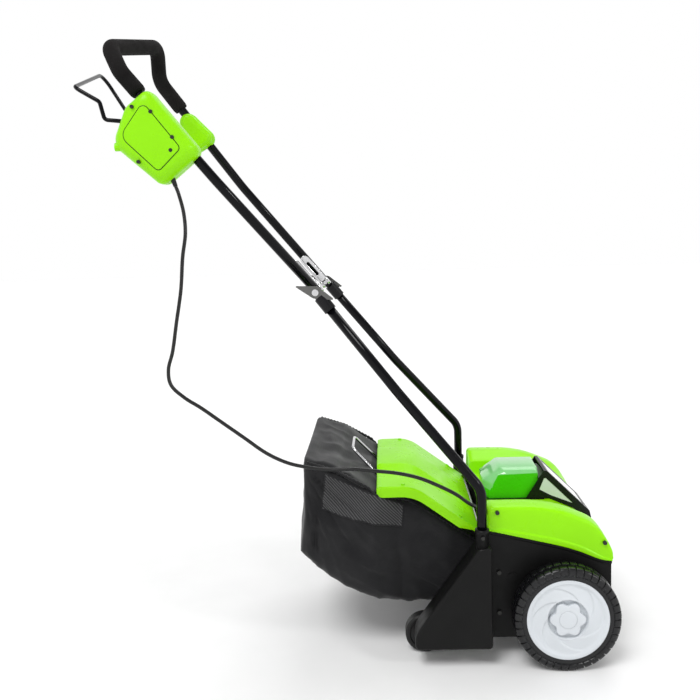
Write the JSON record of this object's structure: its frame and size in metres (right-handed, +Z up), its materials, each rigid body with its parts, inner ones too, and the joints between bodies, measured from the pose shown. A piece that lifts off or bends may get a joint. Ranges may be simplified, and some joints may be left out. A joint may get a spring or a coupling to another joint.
{
  "type": "lawn dethatcher",
  "caption": "Push-along battery lawn dethatcher with folding handle, grass bag, tine rotor, rear flap, bail switch lever and clip-in battery.",
  "frame": {"origin": "centre of the footprint, on the ground", "axes": "+X forward, +Y to the machine's left, +Z up"},
  "size_m": [1.042, 0.534, 1.2565],
  "materials": {
    "black_housing": "fine moulded grain, satin",
    "lime_plastic": "glossy moulded plastic",
    "battery_green": "glossy moulded plastic",
    "dark_plastic": "satin",
    "clear_pane": "translucent grey",
    "tube_black": "gloss powder coat",
    "foam": "closed-cell foam",
    "steel": "ground",
    "zinc": "polished",
    "dark_steel": "black oxide",
    "cast": "cast",
    "tyre": "moulded tread",
    "rim_grey": "satin moulded plastic",
    "rubber": "matt",
    "belt": "matt",
    "board": "potted electronics",
    "bag_fabric": "woven, with a mesh panel",
    "cable_black": "satin jacket"
  },
  "bodies": {
    "deck": {"deck_shell": "black_housing", "hood": "lime_plastic", "hood_screws": "dark_steel", "visor_frame": "dark_plastic", "visor_panes": "clear_pane", "battery_bay": "dark_plastic", "rear_pod_right": "black_housing", "rear_pod_left": "black_housing", "pod_screws": "dark_steel", "rear_axles": "steel", "lower_tube_right": "tube_black", "lower_tube_left": "tube_black", "joint_sleeves": "dark_plastic", "joint_plates": "dark_steel", "motor": "cast", "motor_bracket": "steel", "motor_controller": "board", "drive_belt": "belt", "rotor_bearings": "steel", "flap_rod": "steel", "cable_gland": "rubber", "power_cable": "cable_black"},
    "depth_crank": {"depth_shaft": "steel", "crank_arm_right": "dark_steel", "crank_arm_left": "dark_steel", "wheel_axles": "steel", "depth_lever": "dark_plastic"},
    "wheel_front_right": {"front_tyre_right": "tyre", "front_rim_right": "rim_grey", "wheel_cap_right": "rim_grey"},
    "wheel_front_left": {"front_tyre_left": "tyre", "front_rim_left": "rim_grey", "wheel_cap_left": "rim_grey"},
    "wheel_rear_right": {"rear_wheel_right": "rubber"},
    "wheel_rear_left": {"rear_wheel_left": "rubber"},
    "tine_rotor": {"rotor_shaft": "steel", "tine_carriers": "cast", "tine_rods": "steel", "spring_tines": "steel", "rotor_pulley": "cast"},
    "motor_armature": {"motor_pulley": "cast"},
    "flap": {"rear_flap": "lime_plastic", "flap_screws": "dark_steel"},
    "battery_pack": {"battery": "battery_green"},
    "latch": {"battery_latch": "lime_plastic"},
    "bag": {"grass_bag": "bag_fabric", "bag_frame": "zinc"},
    "upper_handle": {"upper_tube": "tube_black", "grip_foam": "foam", "switch_box_outer": "lime_plastic", "switch_box_inner": "lime_plastic", "box_screws": "dark_steel", "switch_unit": "dark_plastic", "bail_housing": "lime_plastic", "joint_bolts": "zinc", "strain_relief": "rubber"},
    "lever_right": {"cam_lever_right": "zinc"},
    "lever_left": {"cam_lever_left": "zinc"},
    "bail_lever": {"bail": "dark_steel"},
    "button": {"start_button": "lime_plastic"}
  },
  "joints": [
    {"name": "handle_fold", "type": "hinge", "parent": "deck", "child": "upper_handle", "pos_m": [-0.03897, 0, 0.715], "axis": [0, 1, 0], "range_deg": [0, 150], "deforming": ["power_cable"]},
    {"name": "bail_squeeze", "type": "hinge", "parent": "upper_handle", "child": "bail_lever", "pos_m": [-0.32097, 0, 1.043], "axis": [0, 1, 0], "range_deg": [0, 20], "stiffness_Nm_per_rad": 2, "springref_deg": -20.05},
    {"name": "start_press", "type": "slide", "parent": "upper_handle", "child": "button", "axis": [1, 0, 0], "range_m": [0, 0.004], "stiffness_N_per_m": 400, "springref_m": -0.001},
    {"name": "lever_right_flip", "type": "hinge", "parent": "upper_handle", "child": "lever_right", "pos_m": [-0.03897, -0.104, 0.715], "axis": [-0.766, 0, -0.6428], "range_deg": [0, 100]},
    {"name": "lever_left_flip", "type": "hinge", "parent": "upper_handle", "child": "lever_left", "pos_m": [-0.03897, 0.104, 0.715], "axis": [0.766, 0, 0.6428], "range_deg": [0, 100]},
    {"name": "height_crank", "type": "hinge", "parent": "deck", "child": "depth_crank", "pos_m": [0.48303, 0, 0.104], "axis": [0, -1, 0], "range_deg": [0, 20]},
    {"name": "wheel_front_right_spin", "type": "hinge", "parent": "depth_crank", "child": "wheel_front_right", "pos_m": [0.42103, 0, 0.1], "axis": [0, 1, 0], "continuous": true},
    {"name": "wheel_front_left_spin", "type": "hinge", "parent": "depth_crank", "child": "wheel_front_left", "pos_m": [0.42103, 0, 0.1], "axis": [0, 1, 0], "continuous": true},
    {"name": "wheel_rear_right_spin", "type": "hinge", "parent": "deck", "child": "wheel_rear_right", "pos_m": [0.15703, 0, 0.038], "axis": [0, 1, 0], "continuous": true},
    {"name": "wheel_rear_left_spin", "type": "hinge", "parent": "deck", "child": "wheel_rear_left", "pos_m": [0.15703, 0, 0.038], "axis": [0, 1, 0], "continuous": true},
    {"name": "rotor_spin", "type": "hinge", "parent": "deck", "child": "tine_rotor", "pos_m": [0.38603, 0, 0.082], "axis": [0, 1, 0], "continuous": true},
    {"name": "motor_spin", "type": "hinge", "parent": "deck", "child": "motor_armature", "pos_m": [0.34603, 0, 0.217], "axis": [0, 1, 0], "continuous": true},
    {"name": "flap_lift", "type": "hinge", "parent": "deck", "child": "flap", "pos_m": [0.27103, 0, 0.236], "axis": [0, 1, 0], "range_deg": [0, 50]},
    {"name": "battery_lift", "type": "slide", "parent": "deck", "child": "battery_pack", "axis": [0, 0, 1], "range_m": [0, 0.12]},
    {"name": "latch_press", "type": "slide", "parent": "deck", "child": "latch", "axis": [-1, 0, 0], "range_m": [0, 0.005], "stiffness_N_per_m": 500, "springref_m": -0.001},
    {"name": "bag_pull", "type": "slide", "parent": "deck", "child": "bag", "axis": [-1, 0, 0], "range_m": [0, 0.12]}
  ],
  "couplings": [
    {"joint": "motor_spin", "follows": "rotor_spin", "ratio": 2.1429}
  ]
}
